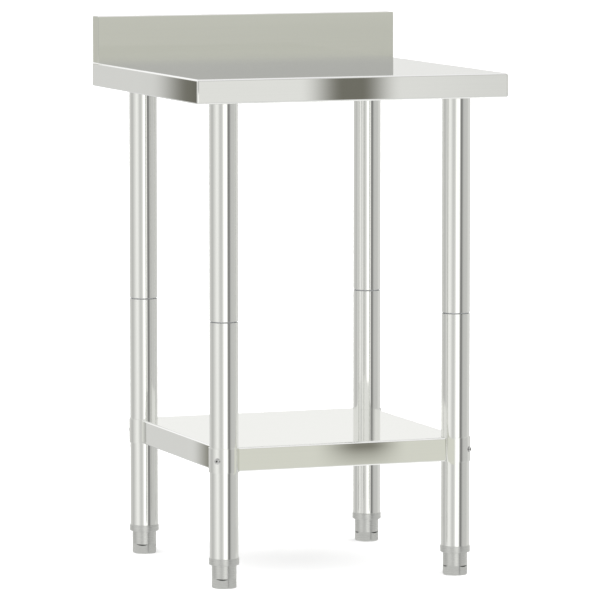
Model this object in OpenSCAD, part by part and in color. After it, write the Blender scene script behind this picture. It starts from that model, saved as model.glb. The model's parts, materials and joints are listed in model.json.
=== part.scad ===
// Stainless steel work table with a box splashback, four two-piece round legs,
// screw-in levelling feet and an undershelf whose corner collars clamp on the legs.
// Origin: floor level, centre of the overall footprint. +X right, +Y rear, +Z up. Millimetres.

/* [Tabletop] */
// Width of the tabletop, side to side
top_w = 550; // [500:10:600]
// Depth of the tabletop, front apron to rear face
top_d = 552; // [500:2:600]
// Height of the work surface above the floor
work_h = 850; // [800:5:900]
// Height of the folded aprons round the tabletop
apron_h = 41; // [36:1:50]
// Thickness of the folded sheet
sheet_t = 1; // [0.8:0.1:1.2]
// Outer radius of the folded edges
bend_r = 3; // [2:0.5:4]
// Width of the inward hem at the foot of each apron
hem_w = 15; // [10:1:18]

/* [Splashback] */
// Height of the splashback above the work surface
splash_h = 80; // [50:5:120]
// Depth of the hollow splashback, its front face to the rear of the table
splash_d = 30; // [20:1:40]
// Distance from the side of the tabletop to the end of the splashback
splash_end_inset = 1.5; // [0:0.5:3]

/* [Legs] */
// Outer diameter of the leg tubes
leg_od = 48; // [42:1:51]
// Wall thickness of the leg tubes
leg_wall = 1; // [0.8:0.1:1.5]
// Distance between leg centres, both ways
leg_pitch = 414; // [360:2:424]
// Distance from the front apron to the front leg centres
leg_front_inset = 64; // [58:1:70]
// Height of the joint between the upper and lower tubes
joint_z = 445; // [400:1:500]
// Width of the groove at that joint
joint_gap = 2; // [0.8:0.2:2.4]

/* [Undershelf] */
// Width and depth of the shelf tray
shelf_w = 437; // [428:1:444]
// Height of the shelf surface above the floor
shelf_z = 235; // [200:5:400]
// Height of the shelf aprons and of the corner collars
shelf_apron_h = 41; // [30:1:50]
// Wall thickness of the corner collars
collar_wall = 1.6; // [1.2:0.1:2.5]

/* [Feet] */
// Diameter of the flange between leg tube and foot
flange_d = 50.4; // [49:0.1:54]
// Height of that flange
flange_h = 11; // [6:1:14]
// Height of the foot below the flange
foot_h = 39; // [30:1:45]
// Diameter of the foot barrel
foot_d = 41.2; // [38:0.2:44]
// Distance across the wrench flats at the base of the foot
wrench_af = 37; // [36:0.5:37.5]
// Height of the wrench flats
wrench_h = 16.5; // [10:0.5:20]
// Diameter of the threaded studs
stud_d = 12; // [10:1:14]

/* [Hidden] */
CORNERS = ["front_left", "front_right", "rear_left", "rear_right"];
SINGLE_NODES = ["tabletop_panel", "top_channel_front", "top_channel_rear", "socket_set_screws",
    "shelf_panel", "shelf_channel", "collar_clamp_screws"];
CORNER_NODES = ["leg_socket", "upper_leg_tube", "leg_nut_plate", "leg_stud_plate", "lower_leg_tube",
    "shelf_collar", "foot_insert", "foot_stud", "levelling_foot"];

$fn = 64;
STEEL = [0.78, 0.78, 0.76];
DARK_STEEL = [0.62, 0.62, 0.62];
EPS = 0.01;

// Tabletop
apron_foot_z = work_h - apron_h;
fold_r = bend_r - sheet_t;
splash_w = top_w - 2 * splash_end_inset;
splash_root = apron_h / 2;
splash_edge_r = 0.8;

// Leg centres, in the order of CORNERS
leg_x = leg_pitch / 2;
leg_front_y = leg_front_inset - top_d / 2;
leg_rear_y = leg_front_y + leg_pitch;
leg_mid_y = (leg_front_y + leg_rear_y) / 2;
LEG_XY = [[-leg_x, leg_front_y], [leg_x, leg_front_y], [-leg_x, leg_rear_y], [leg_x, leg_rear_y]];
OUTWARD = [225, 315, 135, 45];
leg_r = leg_od / 2;
leg_bore_r = leg_r - leg_wall;

// Channels under the tabletop and the shelf
channel_t = 1.2;
channel_web = 66;
channel_flange = 11;
channel_depth = 14;
top_channel_len = top_w - 2 * bend_r - 4;
channel_foot_z = work_h - sheet_t - channel_depth;
shelf_channel_len = shelf_w - 2 * bend_r - 4;

// Sockets that hold the tops of the legs
socket_plate = 62;
socket_plate_t = 3;
socket_wall = 2.8;
socket_clearance = 0.1;
socket_foot_z = apron_foot_z + 2;
socket_seat_z = channel_foot_z - socket_plate_t;
set_screw_r = 3;
set_screw_len = 8;
set_screw_z = (socket_foot_z + socket_seat_z) / 2;

// Joint between the two tubes of a leg
plug_clearance = 0.05;
plug_r = leg_bore_r - plug_clearance;
plug_t = 4;
spacer_r = leg_r - 5;
boss_r = 10;
boss_h = 14;
stud_r = stud_d / 2;
thread_clearance = 0.05;
joint_lower_z = joint_z - joint_gap / 2;
joint_upper_z = joint_z + joint_gap / 2;

// Shelf collars and their clamp screws
collar_clearance = 0.1;
collar_bore_r = leg_r + collar_clearance;
collar_r = collar_bore_r + collar_wall;
shelf_foot_z = shelf_z - shelf_apron_h;
collar_z = shelf_foot_z + shelf_apron_h / 2;
clamp_head_r = 5.4;
clamp_head_h = 3.2;
clamp_shank_r = 2.5;
hex_key_r = 1.7;

// Feet
tube_foot_z = foot_h + flange_h;
shadow_gap = 0.3;
insert_plug_h = 30;
insert_wall = 2.5;
foot_edge_r = 2;
stud_foot_z = 6;
stud_top_z = tube_foot_z + insert_plug_h - 4;

// Box whose twelve edges and eight corners are rounded, centred in X and Y, standing on z = 0
module rounded_box(w, d, h, r) {
    translate([-w / 2 + r, -d / 2 + r, 0])
        cube([w - 2 * r, d - 2 * r, h]);
    translate([-w / 2, -d / 2 + r, r])
        cube([w, d - 2 * r, h - 2 * r]);
    translate([-w / 2 + r, -d / 2, r])
        cube([w - 2 * r, d, h - 2 * r]);
    for (sx = [-1, 1]) {
        for (sy = [-1, 1])
            translate([sx * (w / 2 - r), sy * (d / 2 - r), r])
                cylinder(r = r, h = h - 2 * r);
        for (z = [r, h - r])
            translate([sx * (w / 2 - r), d / 2 - r, z])
                rotate([90, 0, 0])
                    cylinder(r = r, h = d - 2 * r);
    }
    for (z = [r, h - r]) {
        for (sy = [-1, 1])
            translate([-w / 2 + r, sy * (d / 2 - r), z])
                rotate([0, 90, 0])
                    cylinder(r = r, h = w - 2 * r);
        for (sx = [-1, 1])
            for (sy = [-1, 1])
                translate([sx * (w / 2 - r), sy * (d / 2 - r), z])
                    sphere(r = r);
    }
}

// Hollow of an upside-down tray, with the opening inside its hem
module tray_hollow(w, d, h) {
    translate([0, 0, sheet_t])
        rounded_box(w - 2 * sheet_t, d - 2 * sheet_t, h - 2 * sheet_t, fold_r);
    translate([hem_w - w / 2, hem_w - d / 2, -1])
        cube([w - 2 * hem_w, d - 2 * hem_w, 1 + h / 2]);
}

// Splashback block with crisp welded edges, rooted inside the tray below it
module splash_block() {
    translate([0, top_d / 2 - splash_d / 2, work_h - splash_root])
        rounded_box(splash_w, splash_d, splash_h + splash_root, splash_edge_r);
}

// Hollow of the splashback, one sheet inside its block
module splash_hollow() {
    translate([sheet_t - splash_w / 2, top_d / 2 - splash_d + sheet_t, work_h - splash_root])
        cube([splash_w - 2 * sheet_t, splash_d - 2 * sheet_t, splash_h + splash_root - sheet_t]);
}

// Tray and splashback in one skin; the hollow of the splashback opens into the tray
module tabletop_panel() color(STEEL)
    difference() {
        union() {
            translate([0, 0, apron_foot_z])
                rounded_box(top_w, top_d, apron_h, bend_r);
            splash_block();
        }
        translate([0, 0, apron_foot_z])
            tray_hollow(top_w, top_d, apron_h);
        splash_hollow();
    }

// Hat-section channel along X whose flanges lie against the sheet above it
module hat_channel(len, foot_z) {
    half_web = channel_web / 2;
    translate([-len / 2, 0, foot_z])
        rotate([90, 0, 90])
            linear_extrude(len) {
                translate([-half_web, 0])
                    square([channel_web, channel_t]);
                for (side = [-1, 1]) {
                    translate([side * (half_web - channel_t / 2) - channel_t / 2, 0])
                        square([channel_t, channel_depth]);
                    translate([side * (half_web + channel_flange / 2) - channel_flange / 2,
                        channel_depth - channel_t])
                        square([channel_flange, channel_t]);
                }
            }
}

module top_channel(y) color(STEEL)
    translate([0, y, 0])
        hat_channel(top_channel_len, channel_foot_z);

module leg_socket(i) color(DARK_STEEL)
    translate(LEG_XY[i])
        difference() {
            union() {
                translate([-socket_plate / 2, -socket_plate / 2, socket_seat_z])
                    cube([socket_plate, socket_plate, socket_plate_t]);
                translate([0, 0, socket_foot_z])
                    cylinder(r = leg_r + socket_clearance + socket_wall,
                        h = socket_seat_z - socket_foot_z + EPS);
            }
            translate([0, 0, socket_foot_z - 1])
                cylinder(r = leg_r + socket_clearance, h = socket_seat_z - socket_foot_z + 1);
            rotate(OUTWARD[i] + 180)
                translate([0, 0, set_screw_z])
                    rotate([0, 90, 0])
                        cylinder(r = set_screw_r, h = leg_od);
        }

// One slotted grub screw through the inner side of each socket
module socket_set_screws() color(DARK_STEEL)
    for (i = [0:3])
        translate(LEG_XY[i])
            rotate(OUTWARD[i] + 180)
                translate([leg_r, 0, set_screw_z])
                    rotate([0, 90, 0])
                        difference() {
                            cylinder(r = set_screw_r - thread_clearance, h = set_screw_len);
                            translate([0, 0, set_screw_len - 3])
                                cylinder(r = 1.5, h = 4, $fn = 6);
                        }

module tube(foot_z, top_z) {
    translate([0, 0, foot_z])
        difference() {
            cylinder(r = leg_r, h = top_z - foot_z);
            translate([0, 0, -1])
                cylinder(r = leg_bore_r, h = top_z - foot_z + 2);
        }
}

module upper_leg_tube(i) color(STEEL)
    translate(LEG_XY[i])
        tube(joint_upper_z, socket_seat_z);

module lower_leg_tube(i) color(STEEL)
    translate(LEG_XY[i])
        tube(tube_foot_z, joint_lower_z);

// Plate welded in the foot of the upper tube, with a threaded boss
module leg_nut_plate(i) color(DARK_STEEL)
    translate([LEG_XY[i].x, LEG_XY[i].y, joint_upper_z])
        difference() {
            union() {
                cylinder(r = plug_r, h = plug_t);
                cylinder(r = boss_r, h = plug_t + boss_h);
            }
            translate([0, 0, -1])
                cylinder(r = stud_r + thread_clearance, h = plug_t + boss_h + 2);
        }

// Plate welded in the top of the lower tube, with a spacer rim and the joining stud
module leg_stud_plate(i) color(DARK_STEEL)
    translate([LEG_XY[i].x, LEG_XY[i].y, joint_lower_z]) {
        translate([0, 0, -plug_t])
            cylinder(r = plug_r, h = plug_t);
        cylinder(r = spacer_r, h = joint_gap);
        translate([0, 0, joint_gap])
            cylinder(r = stud_r, h = plug_t + boss_h - 2);
    }

module shelf_panel() color(STEEL)
    difference() {
        translate([0, leg_mid_y, shelf_foot_z])
            rounded_box(shelf_w, shelf_w, shelf_apron_h, bend_r);
        translate([0, leg_mid_y, shelf_foot_z])
            tray_hollow(shelf_w, shelf_w, shelf_apron_h);
        for (i = [0:3])
            translate([LEG_XY[i].x, LEG_XY[i].y, shelf_foot_z - 1])
                cylinder(r = collar_r, h = shelf_apron_h + 2);
    }

module shelf_channel() color(STEEL)
    translate([0, leg_mid_y, 0])
        hat_channel(shelf_channel_len, shelf_z - sheet_t - channel_depth);

module shelf_collar(i) color(STEEL)
    translate([LEG_XY[i].x, LEG_XY[i].y, shelf_foot_z])
        difference() {
            cylinder(r = collar_r, h = shelf_apron_h);
            translate([0, 0, -1])
                cylinder(r = collar_bore_r, h = shelf_apron_h + 2);
            rotate(OUTWARD[i])
                translate([0, 0, shelf_apron_h / 2])
                    rotate([0, 90, 0])
                        cylinder(r = clamp_shank_r + thread_clearance, h = leg_od);
        }

// One button-head screw through the outer corner of each collar, with a domed head
module collar_clamp_screws() color(DARK_STEEL)
    for (i = [0:3])
        translate([LEG_XY[i].x, LEG_XY[i].y, collar_z])
            rotate(OUTWARD[i])
                translate([collar_bore_r, 0, 0])
                    rotate([0, 90, 0])
                        difference() {
                            union() {
                                cylinder(r = clamp_shank_r, h = collar_wall + clamp_head_h / 2);
                                translate([0, 0, collar_wall])
                                    button_head();
                            }
                            translate([0, 0, collar_wall + clamp_head_h - 1.6])
                                cylinder(r = hex_key_r, h = 2, $fn = 6);
                        }

module button_head() {
    dome_r = (clamp_head_r * clamp_head_r + clamp_head_h * clamp_head_h) / (2 * clamp_head_h);
    intersection() {
        translate([0, 0, clamp_head_h - dome_r])
            sphere(r = dome_r);
        cylinder(r = clamp_head_r - 0.2, h = clamp_head_h + 1);
    }
}

// Cup pressed in the foot of the lower tube: flange, plug wall and a threaded boss
module foot_insert(i) color(STEEL)
    translate([LEG_XY[i].x, LEG_XY[i].y, foot_h])
        difference() {
            union() {
                rotate_extrude()
                    polygon([[0, shadow_gap], [flange_d / 2 - 1, shadow_gap], [flange_d / 2, 1 + shadow_gap],
                        [flange_d / 2, flange_h - 0.4], [flange_d / 2 - 0.4, flange_h], [0, flange_h]]);
                translate([0, 0, flange_h - EPS])
                    cylinder(r = plug_r, h = insert_plug_h);
            }
            translate([0, 0, -1])
                cylinder(r = stud_r + thread_clearance, h = flange_h + insert_plug_h + 2);
            translate([0, 0, flange_h - insert_wall])
                difference() {
                    cylinder(r = plug_r - insert_wall, h = insert_plug_h + flange_h);
                    translate([0, 0, -1])
                        cylinder(r = boss_r, h = insert_plug_h + flange_h + 2);
                }
        }

// Threaded stud that carries the foot and screws up inside the insert
module foot_stud(i) color(DARK_STEEL)
    translate([LEG_XY[i].x, LEG_XY[i].y, stud_foot_z])
        cylinder(r = stud_r - thread_clearance / 2, h = stud_top_z - stud_foot_z);

// Barrel with six wrench flats at its base and rounded edges
module levelling_foot(i) color(STEEL)
    translate(LEG_XY[i])
        difference() {
            intersection() {
                rotate_extrude()
                    foot_profile();
                union() {
                    translate([0, 0, wrench_h])
                        cylinder(r = foot_d, h = foot_h);
                    rotate(30)
                        cylinder(d = wrench_af / cos(30), h = wrench_h + EPS, $fn = 6);
                }
            }
            translate([0, 0, stud_foot_z])
                cylinder(r = stud_r + thread_clearance, h = foot_h);
        }

module foot_profile() {
    r = foot_d / 2;
    square([r - foot_edge_r, foot_h]);
    translate([0, foot_edge_r])
        square([r, foot_h - foot_edge_r - 1]);
    translate([0, foot_h - 1.5])
        polygon([[0, 0], [r, 0], [r, 0.5], [r - 1, 1.5], [0, 1.5]]);
    intersection() {
        translate([r - foot_edge_r, foot_edge_r])
            circle(r = foot_edge_r);
        square([r, foot_h]);
    }
}

tabletop_panel();
top_channel(leg_front_y);  // top_channel_front
top_channel(leg_rear_y);  // top_channel_rear
socket_set_screws();
shelf_panel();
shelf_channel();
collar_clamp_screws();
for (i = [0:3]) {
    leg_socket(i);
    upper_leg_tube(i);
    leg_nut_plate(i);
    leg_stud_plate(i);
    lower_leg_tube(i);
    shelf_collar(i);
    foot_insert(i);
    foot_stud(i);
    levelling_foot(i);
}
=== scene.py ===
"""Stainless work table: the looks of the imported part. Metres, in the part's own frame."""
import json
import math

import bpy
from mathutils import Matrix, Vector


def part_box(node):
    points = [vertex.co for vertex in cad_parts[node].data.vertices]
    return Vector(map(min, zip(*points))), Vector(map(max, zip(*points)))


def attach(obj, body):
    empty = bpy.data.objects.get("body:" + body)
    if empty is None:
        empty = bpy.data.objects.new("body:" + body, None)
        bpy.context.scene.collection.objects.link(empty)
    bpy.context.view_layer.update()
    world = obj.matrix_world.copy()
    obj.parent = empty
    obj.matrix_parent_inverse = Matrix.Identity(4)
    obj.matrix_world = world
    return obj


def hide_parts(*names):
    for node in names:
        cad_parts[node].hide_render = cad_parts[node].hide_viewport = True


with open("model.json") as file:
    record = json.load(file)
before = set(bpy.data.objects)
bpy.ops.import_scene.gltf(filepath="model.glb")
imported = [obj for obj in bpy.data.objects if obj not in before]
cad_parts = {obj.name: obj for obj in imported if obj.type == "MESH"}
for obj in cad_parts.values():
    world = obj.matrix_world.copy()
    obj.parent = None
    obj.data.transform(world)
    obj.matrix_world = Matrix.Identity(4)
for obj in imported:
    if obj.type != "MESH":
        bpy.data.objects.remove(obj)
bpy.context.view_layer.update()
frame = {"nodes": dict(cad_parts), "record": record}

CORNERS = ("front_left", "front_right", "rear_left", "rear_right")

# Camera: front left of the table, a little above it, on a long lens. Degrees, and millimetres for the lens
CAMERA_AT = (-3.0235, -8.1411, 1.3425)
CAMERA_YAW = 20.414
CAMERA_PITCH = -5.849
CAMERA_LENS = 306.9
SENSOR = 36.0

# Real sizes that the pieces repeat from the CAD part
SHEET = 0.001
TUBE_WALL = 0.001
COLLAR_WALL = 0.0016
PLUG_WALL = 0.0025
PLUG_GAP = 0.00005
BOSS_R = 0.010
STUD_BORE_R = 0.00605
THREAD_PITCH = 0.00175
WRENCH_AF = 0.037
WRENCH_H = 0.0165
BORE_FLOOR = 0.006
HEX_KEY_R = 0.0017
SPLASH_DEPTH = 0.030

# Sizes that only the looks have
TUBE_EDGE = 0.0002
THREAD_DEPTH = 0.00085
UNDERCUT = 0.0022
UNDERCUT_H = 0.0024
UNDERCUT_HALF = math.radians(30)
CHANNEL_EDGE = 0.0006

# Facets of a full turn, and the radius under which a ring is a single point
TURNS = 144
ON_AXIS = 1e-9


# ---------------------------------------------------------------- shader helpers


class Nodes:
    """A short way to write a node tree: n("Type", inputs by name or number, attributes by keyword)."""

    def __init__(self, tree):
        self.tree = tree
        tree.nodes.clear()

    def __call__(self, kind, inputs=None, **attributes):
        node = self.tree.nodes.new(kind)
        for name, value in attributes.items():
            setattr(node, name, value)
        for name, value in (inputs or {}).items():
            socket = node.inputs[name]
            if isinstance(value, bpy.types.NodeSocket):
                self.tree.links.new(value, socket)
            else:
                socket.default_value = value
        return node

    def math(self, operation, a, b=0.0):
        return self("ShaderNodeMath", {0: a, 1: b}, operation=operation).outputs[0]

    def spread(self, value, low, high, to_low=0.0, to_high=1.0, smooth=False):
        node = self(
            "ShaderNodeMapRange",
            {"Value": value, "From Min": low, "From Max": high, "To Min": to_low, "To Max": to_high},
            interpolation_type="SMOOTHSTEP" if smooth else "LINEAR",
        )
        return node.outputs["Result"]

    def ramp(self, factor, stops, smooth=False):
        """stops are (position, grey level or colour), in order."""
        node = self("ShaderNodeValToRGB", {"Fac": factor})
        ramp = node.color_ramp
        ramp.interpolation = "EASE" if smooth else "LINEAR"
        while len(ramp.elements) < len(stops):
            ramp.elements.new(0.5)
        for element, (position, level) in zip(ramp.elements, stops):
            element.position = position
            colour = level if isinstance(level, tuple) else grey(level)
            element.color = (*colour, 1.0)
        return node.outputs["Color"]

    def noise(self, vector, scale, detail=3.0, roughness=0.55):
        node = self(
            "ShaderNodeTexNoise",
            {"Vector": vector, "Scale": scale, "Detail": detail, "Roughness": roughness},
        )
        return node.outputs["Fac"]

    def stretched(self, vector, scale):
        node = self("ShaderNodeMapping", {"Vector": vector, "Scale": scale})
        return node.outputs["Vector"]

    def mix(self, factor, a, b):
        node = self("ShaderNodeMix", {"Factor": factor}, data_type="RGBA")
        for socket, value in ((node.inputs[6], a), (node.inputs[7], b)):
            if isinstance(value, bpy.types.NodeSocket):
                self.tree.links.new(value, socket)
            else:
                socket.default_value = (*value, 1.0)
        return node.outputs[2]

    def shades(self, factor, colour, darker, lighter):
        """The colour, from darker to lighter times its level as the factor goes from 0 to 1."""
        light = tuple(min(1.0, lighter * c) for c in colour)
        return self.mix(factor, tuple(darker * c for c in colour), light)

    def metal(self, tint, rough, bump):
        shader = self(
            "ShaderNodeBsdfPrincipled",
            {"Base Color": tint, "Metallic": 1.0, "Roughness": rough, "Normal": bump.outputs["Normal"]},
        )
        self("ShaderNodeOutputMaterial", {"Surface": shader.outputs["BSDF"]})


def grey(level):
    return (level, level, level)


def new_material(name):
    material = bpy.data.materials.new(name)
    material.use_nodes = True
    return material, Nodes(material.node_tree)


def steel(name, colour, roughness, grain, smudge, scratch, fold_highlight_paint=0.0):
    """Bare steel. grain stretches the noise into fine lines; smudge and scratch are how far handling
    and polishing move the roughness; fold_highlight_paint is how far the upper folds get a painted highlight,
    their colour mixed towards a lighter one. A fold is where the surface leans between a wall and a top."""
    material, n = new_material(name)
    coords = n("ShaderNodeTexCoord")
    where = coords.outputs["Object"]
    lines = n.noise(n.stretched(where, grain), 1.0, detail=4.0, roughness=0.65)
    handled = n.noise(where, 31.0, detail=5.0, roughness=0.6)
    tint = n.shades(n.spread(lines, 0.25, 0.75), colour, 0.985, 1.012)
    leaning = n("ShaderNodeSeparateXYZ", {"Vector": coords.outputs["Normal"]}).outputs["Z"]
    past_wall = n.spread(leaning, 0.05, 0.25, 0.0, fold_highlight_paint)
    before_top = n.spread(leaning, 0.9, 0.99, 1.0, 0.0)
    # Painted highlight: folds that lean between a wall and a top are mixed towards the lighter
    # PAINTED_FOLD_HIGHLIGHT colour
    tint = n.mix(n.math("MULTIPLY", past_wall, before_top), tint, PAINTED_FOLD_HIGHLIGHT)
    rough = n.math("ADD", n.spread(lines, 0.2, 0.8, -scratch, scratch), roughness)
    rough = n.math("ADD", rough, n.spread(handled, 0.45, 0.75, 0.0, smudge))
    bump = n("ShaderNodeBump", {"Strength": 0.06, "Distance": 0.00002, "Height": lines})
    n.metal(tint, rough, bump)
    return material


def tube_steel(name, colour, roughness):
    """Polished welded tube. u runs round it in turns and v along it in metres; the weld is at u = 0."""
    material, n = new_material(name)
    uv = n("ShaderNodeTexCoord").outputs["UV"]
    axes = n("ShaderNodeSeparateXYZ", {"Vector": uv})
    lines = n.noise(n.stretched(uv, (420.0, 14.0, 1.0)), 1.0, detail=4.0, roughness=0.65)
    rings = n.noise(n.stretched(uv, (3.0, 900.0, 1.0)), 1.0, detail=3.0)
    from_weld = n.math("PINGPONG", axes.outputs["X"], 0.5)
    weld = n.spread(from_weld, 0.0065, 0.011, 1.0, 0.0, smooth=True)
    tint = n.shades(n.spread(lines, 0.25, 0.75), colour, 0.985, 1.012)
    tint = n.mix(weld, tint, tuple(0.86 * c for c in colour))
    rough = n.math("ADD", n.spread(lines, 0.2, 0.8, -0.015, 0.02), roughness)
    rough = n.math("ADD", rough, n.math("MULTIPLY", weld, 0.16))
    height = n.math("ADD", n.math("MULTIPLY", rings, 0.5), n.math("MULTIPLY", weld, 4.0))
    bump = n("ShaderNodeBump", {"Strength": 0.08, "Distance": 0.00002, "Height": height})
    n.metal(tint, rough, bump)
    return material


def turned_steel(name, colour, roughness):
    """Satin turned steel: fine rings round the axis, which v measures in metres."""
    material, n = new_material(name)
    uv = n("ShaderNodeTexCoord").outputs["UV"]
    rings = n.noise(n.stretched(uv, (2.0, 2600.0, 1.0)), 1.0, detail=3.0, roughness=0.7)
    cloud = n.noise(n.stretched(uv, (14.0, 160.0, 1.0)), 1.0, detail=4.0)
    tint = n.shades(n.spread(cloud, 0.3, 0.7), colour, 0.97, 1.025)
    rough = n.math("ADD", n.spread(rings, 0.2, 0.8, -0.04, 0.06), roughness)
    bump = n("ShaderNodeBump", {"Strength": 0.07, "Distance": 0.00003, "Height": rings})
    n.metal(tint, rough, bump)
    return material


def zinc_plate(name, colour):
    """Dull zinc plate: small flat crystals, each a little lighter or darker."""
    material, n = new_material(name)
    where = n("ShaderNodeTexCoord").outputs["Object"]
    crystals = n("ShaderNodeTexVoronoi", {"Vector": where, "Scale": 260.0, "Randomness": 1.0})
    spangle = n("ShaderNodeSeparateXYZ", {"Vector": crystals.outputs["Color"]}).outputs["X"]
    cloud = n.noise(where, 45.0, detail=4.0)
    tint = n.shades(spangle, colour, 0.86, 1.1)
    rough = n.math("ADD", n.spread(spangle, 0.0, 1.0, 0.34, 0.46), n.spread(cloud, 0.3, 0.7, -0.04, 0.05))
    bump = n("ShaderNodeBump", {"Strength": 0.2, "Distance": 0.00003, "Height": cloud})
    n.metal(tint, rough, bump)
    return material


# ---------------------------------------------------------------- materials

STEEL_COLOUR = (0.785, 0.79, 0.768)
# Colour of the painted highlight on the upper folds of the sheet
PAINTED_FOLD_HIGHLIGHT = (0.98, 0.98, 0.97)
MATERIALS = {
    "stainless_sheet": steel("sheet_steel", STEEL_COLOUR, 0.052, (3.0, 900.0, 900.0),
                             smudge=0.015, scratch=0.01, fold_highlight_paint=1.0),
    "stainless_channel": steel("mill_steel", (0.68, 0.68, 0.67), 0.30, (6.0, 500.0, 500.0),
                               smudge=0.08, scratch=0.06),
    "stainless_tube": tube_steel("tube_steel", STEEL_COLOUR, 0.07),
    "stainless_foot": turned_steel("turned_steel", (0.60, 0.605, 0.585), 0.27),
    "stainless_screw": turned_steel("screw_steel", (0.52, 0.52, 0.51), 0.16),
    "zinc_steel": zinc_plate("zinc_steel", (0.62, 0.63, 0.64)),
}
# Dark material put on the faces of recesses as painted shade
RECESS_SHADE = turned_steel("painted_recess_shade", (0.10, 0.10, 0.095), 0.5)

slot_of = {row["node"]: row["material_slot"] for row in frame["record"]["subparts"]}
for node, obj in frame["nodes"].items():
    for place in obj.material_slots:
        place.link = "OBJECT"
        place.material = MATERIALS[slot_of[node]]


# ---------------------------------------------------------------- mesh helpers


def add_piece(name, vertices, faces, loops_uv, body, slot, replaced, sharp=math.radians(32),
              in_painted_shade=None):
    """Edges over the angle sharp stay crisp. in_painted_shade says of a face's centre whether it lies in a
    recess, where the steel gets a dark material as painted shade."""
    mesh = bpy.data.meshes.new(name)
    mesh.from_pydata(vertices, [], faces)
    layer = mesh.uv_layers.new(name="turned")
    layer.data.foreach_set("uv", [value for uv in loops_uv for value in uv])
    mesh.validate()
    mesh.shade_smooth()
    mesh.set_sharp_from_angle(angle=sharp)
    mesh.materials.append(MATERIALS[slot])
    obj = bpy.data.objects.new(name, mesh)
    bpy.context.scene.collection.objects.link(obj)
    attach(obj, body)
    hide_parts(*replaced)
    # Painted shade: faces in a recess get the dark material
    if in_painted_shade:
        mesh.materials.append(RECESS_SHADE)
        for face in mesh.polygons:
            face.material_index = int(in_painted_shade(face.center))
    flat = obj.modifiers.new("flat_walls", "WEIGHTED_NORMAL")
    flat.keep_sharp = True
    flat.weight = 100


def turned(rings, closed=False, turns=TURNS, angles=None):
    """Vertices, faces and UVs of a solid of rings. A ring is (radius, z) or (function of angle, z);
    radius 0 is a single point on the axis, and z may be a function of angle too. A closed solid joins
    its last ring to its first, as a tube does."""
    angles = angles or [2 * math.pi * i / turns for i in range(turns)]
    count = len(angles)
    vertices, index, along = [], [], []
    travelled, before, first = 0.0, None, None
    for radius, z in rings:
        radii = [radius(a) if callable(radius) else radius for a in angles]
        heights = [z(a) if callable(z) else z for a in angles]
        here = (sum(radii) / count, sum(heights) / count)
        if before:
            travelled += math.dist(here, before)
        before = here
        first = first or here
        along.append(travelled)
        start = len(vertices)
        if here[0] < ON_AXIS:
            vertices.append((0.0, 0.0, here[1]))
            index.append([start] * count)
        else:
            vertices += [(r * math.cos(a), r * math.sin(a), h) for r, h, a in zip(radii, heights, angles)]
            index.append([start + i for i in range(count)])
    if closed:
        index.append(index[0])
        along.append(travelled + math.dist(before, first))
    faces, uvs = [], []
    for low, high, v_low, v_high in zip(index, index[1:], along, along[1:]):
        for i in range(count):
            j = (i + 1) % count
            face = [(low[i], i, v_low), (low[j], i + 1, v_low),
                    (high[j], i + 1, v_high), (high[i], i, v_high)]
            corners = []
            for corner in face:
                if corner[0] not in [c[0] for c in corners]:
                    corners.append(corner)
            if len(corners) > 2:
                faces.append([c[0] for c in corners])
                uvs += [(c[1] / count, c[2]) for c in corners]
    return vertices, faces, uvs


def moved(vertices, centre, turn=0.0):
    c, s = math.cos(turn), math.sin(turn)
    return [(centre.x + c * x - s * y, centre.y + s * x + c * y, centre.z + z) for x, y, z in vertices]


def rounded_end(radius, z, edge, inward):
    """Rings of a quarter-round edge, from the wall to the face at z. inward is 1 at a foot, -1 at a top."""
    steps = 4
    rings = []
    for i in range(steps + 1):
        a = math.pi / 2 * i / steps
        rings.append((radius - edge * (1 - math.cos(a)), z + inward * edge * (1 - math.sin(a))))
    return rings


def middle(node):
    """Centre of a round CAD node's foot, its radius and its height."""
    low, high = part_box(node)
    centre = Vector(((low.x + high.x) / 2, (low.y + high.y) / 2, low.z))
    return centre, (high.x - low.x) / 2, high.z - low.z


def from_middle(angle, step):
    """How far round an angle is from the middle of its side, where there is a side every step."""
    return (angle + step / 2) % step - step / 2


# ---------------------------------------------------------------- pieces


def tube_rings(radius, height, wall):
    """A plain tube with both rims rounded, outside up and inside down."""
    outside = list(reversed(rounded_end(radius, 0.0, TUBE_EDGE, 1)))
    outside += rounded_end(radius, height, TUBE_EDGE, -1)
    inner = radius - wall
    mouth = inner + 0.2 * TUBE_EDGE
    return outside + [(mouth, height), (inner, height - TUBE_EDGE), (inner, TUBE_EDGE), (mouth, 0.0)]


def make_tubes(corner):
    """The two tubes of a leg, with their welds facing the middle of the table."""
    inward = {"front_left": 45, "front_right": 135, "rear_left": -45, "rear_right": -135}[corner]
    for part in ("upper_leg_tube", "lower_leg_tube"):
        node = f"{part}_{corner}"
        centre, radius, height = middle(node)
        vertices, faces, uvs = turned(tube_rings(radius, height, TUBE_WALL), closed=True)
        add_piece(f"{part}.{corner}", moved(vertices, centre, math.radians(inward)), faces, uvs,
                  "frame", "stainless_tube", [node])


def make_collar(corner):
    node = f"shelf_collar_{corner}"
    centre, radius, height = middle(node)
    vertices, faces, uvs = turned(tube_rings(radius, height, COLLAR_WALL), closed=True)
    add_piece(f"shelf_collar.{corner}", moved(vertices, centre), faces, uvs,
              "shelf", "stainless_tube", [node])


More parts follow.
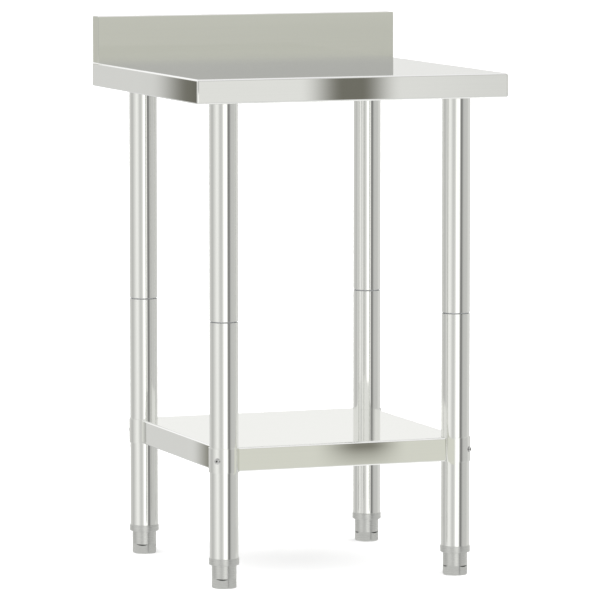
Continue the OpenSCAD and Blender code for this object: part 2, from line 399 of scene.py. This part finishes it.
def make_insert(corner):
    """Flange with a rounded lip under the leg tube, and the plug wall and boss inside the tube. A round's
    middle lies inside its corner by a fraction of it."""
    node = f"foot_insert_{corner}"
    centre, radius, height = middle(node)
    tube_low, tube_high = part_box(f"lower_leg_tube_{corner}")
    flange_h = tube_low.z - centre.z
    plug = tube_high.x - centre.x - TUBE_WALL - PLUG_GAP
    well = plug - PLUG_WALL
    lip, lip_middle = 0.0007, 0.0002
    edge, edge_middle = 0.0004, 0.0001
    plug_chamfer, boss_chamfer = 0.0008, 0.0005
    rings = [(STUD_BORE_R, 0.0), (radius - lip, 0.0), (radius - lip_middle, lip_middle), (radius, lip),
             (radius, flange_h - edge), (radius - edge_middle, flange_h - edge_middle),
             (radius - edge, flange_h), (plug, flange_h), (plug, height - plug_chamfer),
             (plug - plug_chamfer, height), (well, height), (well, flange_h - PLUG_WALL),
             (BOSS_R, flange_h - PLUG_WALL), (BOSS_R, height - boss_chamfer),
             (BOSS_R - boss_chamfer, height), (STUD_BORE_R, height)]
    vertices, faces, uvs = turned(rings, closed=True)
    add_piece(f"foot_insert.{corner}", moved(vertices, centre), faces, uvs,
              "frame", "stainless_foot", [node])


def make_foot(corner):
    """Turned barrel, milled to six wrench flats at its base, bored for its stud. Above every other flat the
    cutter has left a small lens-shaped undercut. The right-hand feet are a sixth of a turn further on."""
    node = f"levelling_foot_{corner}"
    centre, radius, height = middle(node)
    hair = 0.00005
    base_round, base_steps = 0.002, 5
    edge, edge_middle = 0.0004, 0.0001
    bore_chamfer = 0.0005
    least_cut = 0.0004
    flat = WRENCH_AF / 2
    flat_half = math.acos(flat / radius)
    between_flats = math.radians(60) - 2 * flat_half
    angles = []
    for side in range(6):
        middle_angle = math.radians(60 * side)
        angles += [middle_angle + flat_half * s / 4 for s in range(-4, 5)]
        angles += [middle_angle + flat_half + between_flats * s for s in (0.33, 0.66)]
    angles = sorted(a % (2 * math.pi) for a in angles)

    def milled(limit):
        return lambda angle: min(limit, flat / math.cos(from_middle(angle, math.radians(60))))

    screwed_on = math.radians(60 if "right" in corner else 0)

    def undercut(angle, power):
        """How far one of the three undercut flats is cut back here, from 0 at its ends to 1."""
        off = from_middle(angle - screwed_on, math.radians(120))
        return max(0.0, 1 - (off / UNDERCUT_HALF) ** power)

    def groove(angle):
        return milled(radius)(angle) - UNDERCUT * undercut(angle, 8)

    def lens(angle):
        return WRENCH_H - hair - UNDERCUT_H * undercut(angle, 2)

    rings = [(0.0, 0.0), (radius - base_round, 0.0)]
    for step in range(1, base_steps + 1):
        a = math.pi / 2 * step / base_steps
        rings.append((milled(radius - base_round * (1 - math.sin(a))), base_round * (1 - math.cos(a))))
    rings += [(milled(radius), lambda a: lens(a) - hair), (groove, lens),
              (groove, WRENCH_H), (radius, WRENCH_H + hair),
              (radius, height - edge), (radius - edge_middle, height - edge_middle), (radius - edge, height),
              (STUD_BORE_R + bore_chamfer, height), (STUD_BORE_R, height - bore_chamfer),
              (STUD_BORE_R, BORE_FLOOR), (0.0, BORE_FLOOR)]
    vertices, faces, uvs = turned(rings, angles=angles)

    # Faces inside the undercut get painted shade
    def in_undercut(point):
        out = (point - centre).xy
        skin = milled(radius)(math.atan2(out.y, out.x))
        up = point.z - centre.z
        return WRENCH_H - UNDERCUT_H < up < WRENCH_H + 2 * hair and out.length < skin - least_cut

    add_piece(f"levelling_foot.{corner}", moved(vertices, centre), faces, uvs,
              f"foot_{corner}", "stainless_foot", [node], sharp=math.radians(25), in_painted_shade=in_undercut)


def make_stud(corner):
    """M12 stud: a real helical thread, run out to a chamfer at both ends. A tooth is a ridge with sloping
    flanks, cut flat at its crest and its root."""
    node = f"foot_stud_{corner}"
    centre, radius, height = middle(node)
    steps_per_pitch, turns = 8, 40
    chamfer = 0.0012
    flank, root = 2.4, 0.15
    rings = [(0.0, 0.0)]
    count = int(height / THREAD_PITCH * steps_per_pitch)
    for i in range(count + 1):
        z = height * i / count
        runout = min(1.0, z / chamfer, (height - z) / chamfer)

        def at(angle, z=z, runout=runout):
            phase = (z / THREAD_PITCH - angle / (2 * math.pi)) % 1.0
            tooth = min(1.0, max(0.0, flank * abs(phase - 0.5) - root))
            return radius - THREAD_DEPTH * (1 - tooth * runout)
        rings.append((at, z))
    rings.append((0.0, height))
    vertices, faces, uvs = turned(rings, turns=turns)
    add_piece(f"foot_stud.{corner}", moved(vertices, centre), faces, uvs,
              f"stud_{corner}", "zinc_steel", [node], sharp=math.radians(60))


def make_clamp_screws():
    """Four button-head screws with a hexagon recess, one through the outer side of each collar."""
    vertices, faces, uvs = [], [], []
    head_r, head_h, head_edge, shank_r = 0.0052, 0.0032, 0.0003, 0.0025
    dome_r = (head_r ** 2 + head_h ** 2) / (2 * head_h)
    dome_steps = 8
    crown = COLLAR_WALL + head_h
    recess, drill_point, lead_in = 0.0016, 0.0004, 0.0002
    turns = 48

    def hexagon(angle):
        return HEX_KEY_R * math.cos(math.radians(30)) / math.cos(from_middle(angle, math.radians(60)))

    rings = [(0.0, 0.0), (shank_r, 0.0), (shank_r, COLLAR_WALL), (head_r - head_edge, COLLAR_WALL),
             (head_r, COLLAR_WALL + head_edge)]
    for step in range(1, dome_steps):
        r = head_r * (1 - step / dome_steps * (1 - 1.25 * HEX_KEY_R / head_r))
        rings.append((r, crown - dome_r + math.sqrt(dome_r ** 2 - r ** 2)))
    mouth = rings[-1][1] - 0.0001
    rings += [(lambda a: hexagon(a) * 1.04, mouth), (hexagon, mouth - lead_in),
              (hexagon, crown - recess), (0.0, crown - recess - drill_point)]
    one, one_faces, one_uvs = turned(rings, turns=turns)
    collars = [middle(f"shelf_collar_{corner}") for corner in CORNERS]
    for corner, (centre, radius, height) in zip(CORNERS, collars):
        outward = math.atan2(1 if "rear" in corner else -1, 1 if "right" in corner else -1)
        screw_z = centre.z + height / 2
        start = len(vertices)
        for x, y, z in one:
            along = radius - COLLAR_WALL + z
            vertices.append((centre.x + along * math.cos(outward) - y * math.sin(outward),
                             centre.y + along * math.sin(outward) + y * math.cos(outward),
                             screw_z - x))
        faces += [[start + i for i in face] for face in one_faces]
        uvs += one_uvs

    # Faces inside the hexagon socket get painted shade
    def in_socket(point):
        centre, radius, _ = min(collars, key=lambda collar: math.dist(collar[0].xy, point.xy))
        out = (point - centre).xy
        across = abs(abs(out.x) - abs(out.y)) / math.sqrt(2)
        from_axis = math.hypot(across, point.z - screw_z)
        return from_axis < 1.02 * HEX_KEY_R and out.length > radius + COLLAR_WALL / 2

    add_piece("collar_clamp_screws.set", vertices, faces, uvs, "shelf", "stainless_screw",
              ["collar_clamp_screws"], sharp=math.radians(28), in_painted_shade=in_socket)


for corner in CORNERS:
    make_tubes(corner)
    make_collar(corner)
    make_insert(corner)
    make_foot(corner)
    make_stud(corner)
make_clamp_screws()

for node in ("top_channel_front", "top_channel_rear", "shelf_channel"):
    bevel = frame["nodes"][node].modifiers.new("fold", "BEVEL")
    bevel.width = CHANNEL_EDGE
    bevel.segments = 3
    bevel.limit_method = "ANGLE"


# ---------------------------------------------------------------- camera

camera_data = bpy.data.cameras.new("camera")
camera_data.lens = CAMERA_LENS
camera_data.sensor_width = SENSOR
camera_data.clip_end = 200.0
camera = bpy.data.objects.new("camera", camera_data)
camera.location = CAMERA_AT
camera.rotation_euler = (math.radians(90 + CAMERA_PITCH), 0.0, math.radians(-CAMERA_YAW))
bpy.context.scene.collection.objects.link(camera)
bpy.context.scene.camera = camera
bpy.context.scene.view_settings.view_transform = "Standard"
bpy.context.scene.view_settings.look = "None"


# ---------------------------------------------------------------- studio

# What the steel mirrors: three rings of light round the table, as (azimuth, level), where 0 is in front of
# it and 90 on its right. LOW lies at and below the horizon, HIGH just above it and SKY over that.
STUDIO_LOW = [
    (-180, 0.75), (-160, 0.775), (-150, 0.75), (-135, 0.64), (-120, 0.60), (-105, 0.745), (-88, 0.93),
    (-74, 1.07), (-62, 0.98), (-50, 0.74), (-42, 0.70), (-34, 0.73), (-27, 0.92), (-22, 1.12), (-17, 1.45),
    (4, 1.45), (8.5, 1.0), (12, 0.60), (16, 0.27), (25, 0.25), (31, 0.40), (37, 0.57), (45, 0.635),
    (62, 0.66), (76, 0.665), (90, 0.77), (106, 0.84), (122, 0.79), (140, 0.74), (180, 0.72),
]
STUDIO_HIGH = [
    (-180, 0.86), (-100, 0.90), (-30, 1.05), (2.5, 1.05), (10, 0.60), (15, 0.30), (24, 0.28), (36, 0.62),
    (60, 0.78), (90, 0.84), (140, 0.845), (180, 0.85),
]
STUDIO_SKY = [(-180, 0.99), (4, 0.99), (16, 0.30), (25, 0.28), (37, 0.66), (60, 0.99), (180, 0.99)]
# Over the rings the studio is plain, from OVERHEAD to ZENITH, and under them from FLOOR_GLOW to NADIR
OVERHEAD = 0.98
ZENITH = 0.80
FLOOR_GLOW = 0.78
NADIR = 1.15
# Where each gives way to the next, as the height of a direction: -1 is straight down and 1 straight up
NADIR_TO_FLOOR = (-0.75, -0.50)
FLOOR_TO_LOW = (-0.23, -0.165)
LOW_TO_HIGH = (-0.01, 0.02)
HIGH_TO_SKY = (0.06, 0.13)
SKY_TO_OVERHEAD = (0.13, 0.20)
OVERHEAD_TO_ZENITH = (0.50, 1.0)
# Light that only dull surfaces get, which is the floor
FLOOR_LIGHT = 1.9
NEUTRAL = (1.0, 1.0, 0.98)
WARM = (1.0, 1.005, 0.91)
OLIVE = (1.02, 1.0, 0.85)
# A strip light's levels below this take its dark tint
DARK_LEVEL = 0.3


def studio_world():
    """White to the camera, the studio to what mirrors it, and plain soft light to the floor."""
    world = bpy.data.worlds.new("studio")
    world.use_nodes = True
    bpy.context.scene.world = world
    n = Nodes(world.node_tree)
    axes = n("ShaderNodeSeparateXYZ", {"Vector": n("ShaderNodeTexCoord").outputs["Generated"]})
    azimuth = n.math("ARCTAN2", axes.outputs["X"], n.math("MULTIPLY", axes.outputs["Y"], -1.0))
    turn = n.spread(azimuth, -math.pi, math.pi)

    def band(stops):
        top = max(level for _, level in stops)
        share = [((a + 180) / 360, tuple(level / top * c for c in NEUTRAL)) for a, level in stops]
        return n("ShaderNodeVectorMath", {0: n.ramp(turn, share), "Scale": top}, operation="SCALE").outputs[0]

    def rising(heights, below, above, smooth=False):
        return n.mix(n.spread(axes.outputs["Z"], *heights, smooth=smooth), below, above)

    sky = rising(LOW_TO_HIGH, band(STUDIO_LOW), band(STUDIO_HIGH), smooth=True)
    sky = rising(HIGH_TO_SKY, sky, band(STUDIO_SKY))
    sky = rising(SKY_TO_OVERHEAD, sky, grey(OVERHEAD))
    sky = rising(OVERHEAD_TO_ZENITH, sky, grey(ZENITH))
    sky = rising(FLOOR_TO_LOW, grey(FLOOR_GLOW), sky, smooth=True)
    sky = rising(NADIR_TO_FLOOR, grey(NADIR), sky, smooth=True)

    def light(colour, strength=1.0):
        return n("ShaderNodeBackground", {"Color": colour, "Strength": strength}).outputs[0]

    white = (*grey(1.0), 1.0)
    path = n("ShaderNodeLightPath")
    unseen = n("ShaderNodeMixShader", {"Fac": path.outputs["Is Glossy Ray"],
                                       1: light(white, FLOOR_LIGHT), 2: light(sky)})
    shown = n("ShaderNodeMixShader", {"Fac": path.outputs["Is Camera Ray"],
                                      1: unseen.outputs[0], 2: light(white)})
    n("ShaderNodeOutputWorld", {"Surface": shown.outputs[0]})


def add_stage(name, mesh):
    obj = bpy.data.objects.new(name, mesh)
    bpy.context.scene.collection.objects.link(obj)
    return obj


def pale_floor():
    half = 60.0
    corners = [(-half, -half, 0), (half, -half, 0), (half, half, 0), (-half, half, 0)]
    mesh = bpy.data.meshes.new("floor")
    mesh.from_pydata(corners, [], [(0, 1, 2, 3)])
    material, n = new_material("pale_floor")
    shader = n("ShaderNodeBsdfDiffuse", {"Color": (*grey(0.93), 1.0), "Roughness": 0.5})
    n("ShaderNodeOutputMaterial", {"Surface": shader.outputs[0]})
    mesh.materials.append(material)
    add_stage("floor", mesh).visible_glossy = False


def mirrored_in(axis, plane, point):
    """Where the line of sight to a point of a face, mirrored in that face, meets the plane."""
    sight = Vector(point) - Vector(CAMERA_AT)
    sight[axis] *= -1
    return Vector(point) + sight * ((plane - point[axis]) / sight[axis])


def strip_light(name, corners, along, tint=NEUTRAL, upward=((0.0, 1.0), (1.0, 1.0)), full=0.8,
                dark_tint=None, soft_end=0.0):
    """A soft strip light that one face mirrors. corners are the strip's foot and top at its first end,
    then at its other end; along is its level from end to end, and its dark levels may have a dark_tint of
    their own. upward says how far, from its foot to its top, along holds: where it is 0, the level is full.
    soft_end is the share of its length over which it fades in, and out again."""
    mesh = bpy.data.meshes.new(name)
    foot_a, top_a, foot_b, top_b = corners
    mesh.from_pydata([foot_a, foot_b, top_b, top_a], [], [(0, 1, 2, 3)])
    mesh.uv_layers.new(name="strip").data.foreach_set("uv", [0, 0, 1, 0, 1, 1, 0, 1])
    material, n = new_material(name)
    axes = n("ShaderNodeSeparateXYZ", {"Vector": n("ShaderNodeTexCoord").outputs["UV"]})

    def tinted(level):
        return tuple(level * c for c in (dark_tint if dark_tint and level < DARK_LEVEL else tint))

    levels = n.ramp(axes.outputs["X"], [(u, tinted(level)) for u, level in along], smooth=True)
    held = n.ramp(axes.outputs["Y"], upward)
    colour = n.mix(held, tuple(full * c for c in tint), levels)
    shader = n("ShaderNodeEmission", {"Color": colour, "Strength": 1.0})
    if soft_end:
        shown = n.ramp(axes.outputs["X"], [(0.0, 0.0), (soft_end, 1.0), (1.0 - soft_end, 1.0), (1.0, 0.0)])
        shader = n("ShaderNodeMixShader", {"Fac": shown, 1: n("ShaderNodeBsdfTransparent").outputs[0],
                                           2: shader.outputs[0]})
    n("ShaderNodeOutputMaterial", {"Surface": shader.outputs[0]})
    material.cycles.emission_sampling = "NONE"
    mesh.materials.append(material)
    strip = add_stage(name, mesh)
    strip.visible_camera = strip.visible_diffuse = strip.visible_shadow = False
    strip.visible_transmission = strip.visible_volume_scatter = False


def strip_lights():
    """Strip lights in front of the table and to its left, each about as tall and wide as what its face
    mirrors."""
    top_low, top_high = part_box("tabletop_panel")
    shelf_low, shelf_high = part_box("shelf_panel")
    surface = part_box("top_channel_front")[1].z + SHEET
    splash_y = top_high.y - SPLASH_DEPTH
    near, far = 0.018, 0.35
    below_apron, below_fold = 0.003, 0.001
    over_splash = surface + 0.28

    def facing_front(distance, y, x_a, x_b, foot_z, top_z):
        return [mirrored_in(1, y - distance, (x, y, z)) for x in (x_a, x_b) for z in (foot_z, top_z)]

    def facing_left(x, y_a, y_b, foot_z, top_z):
        return [mirrored_in(0, x - near, (x, y, z)) for y in (y_a, y_b) for z in (foot_z, top_z)]

    strip_light("strip_front_apron", facing_front(3 * near, top_low.y, top_low.x, top_high.x,
                                                  top_low.z - 0.004, surface - below_fold),
                [(0.0, 0.92), (0.32, 0.92), (0.465, 0.192), (0.5205, 0.192), (0.6555, 0.89), (1.0, 0.83)],
                dark_tint=OLIVE)

    front_y = top_low.y - far
    lowest = mirrored_in(1, front_y, (0, splash_y, surface)).z
    fold = 2 * surface - lowest
    ends = [mirrored_in(1, front_y, (x, splash_y, surface)).x for x in (top_low.x - 0.1, top_high.x + 0.1)]
    for name, foot_z, top_z, level, full, tint in (
            ("strip_splash", lowest - 0.003, fold, 0.635, 0.665, WARM),
            ("strip_top", fold + 0.0002, over_splash, 0.562, 0.562, NEUTRAL)):
        corners = [Vector((x, front_y, z)) for x in ends for z in (foot_z, top_z)]
        strip_light(name, corners, [(0.0, 1.02 * level), (1.0, 0.98 * level)], tint,
                    upward=[(0.0, 1.0), (0.6, 1.0), (0.95, 0.0), (1.0, 0.0)], full=full, soft_end=0.11)

    behind_y = front_y - 0.01
    corners = [Vector((x, behind_y, z)) for x in (-1.2, 1.3) for z in (surface - 0.045, over_splash)]
    strip_light("strip_splash_wide", corners, [(0.0, 0.70), (0.5, 0.62), (1.0, 0.70)], soft_end=0.15)

    left_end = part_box("shelf_collar_front_left")[1].x - 0.010
    right_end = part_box("shelf_collar_front_right")[0].x + 0.004
    strip_light("strip_shelf_front", facing_front(near, shelf_low.y, left_end, right_end,
                                                  shelf_low.z - below_apron, shelf_high.z),
                [(0.0, 0.80), (0.357, 0.80), (0.592, 0.255), (0.627, 0.255), (0.824, 0.80), (1.0, 0.80)],
                WARM, upward=[(0.0, 0.08), (0.5, 0.58), (0.8, 1.0), (1.0, 1.0)], full=0.80, dark_tint=OLIVE)

    strip_light("strip_left_apron", facing_left(top_low.x, top_low.y, top_low.y + 0.30,
                                                top_low.z - below_apron, surface - below_fold),
                [(0.0, 0.17), (0.12, 0.19), (0.80, 0.76), (1.0, 0.77)], dark_tint=OLIVE)
    strip_light("strip_splash_end", facing_left(top_low.x, splash_y - 0.005, top_high.y + 0.005, surface,
                                                top_high.z + 0.002), [(0.0, 0.60), (1.0, 0.60)], WARM)
    strip_light("strip_shelf_left", facing_left(shelf_low.x, shelf_low.y, shelf_low.y + 0.16,
                                                shelf_low.z - below_apron, shelf_high.z),
                [(0.0, 0.16), (0.24, 0.26), (0.90, 0.775), (1.0, 0.785)], dark_tint=OLIVE)


studio_world()
pale_floor()
strip_lights()
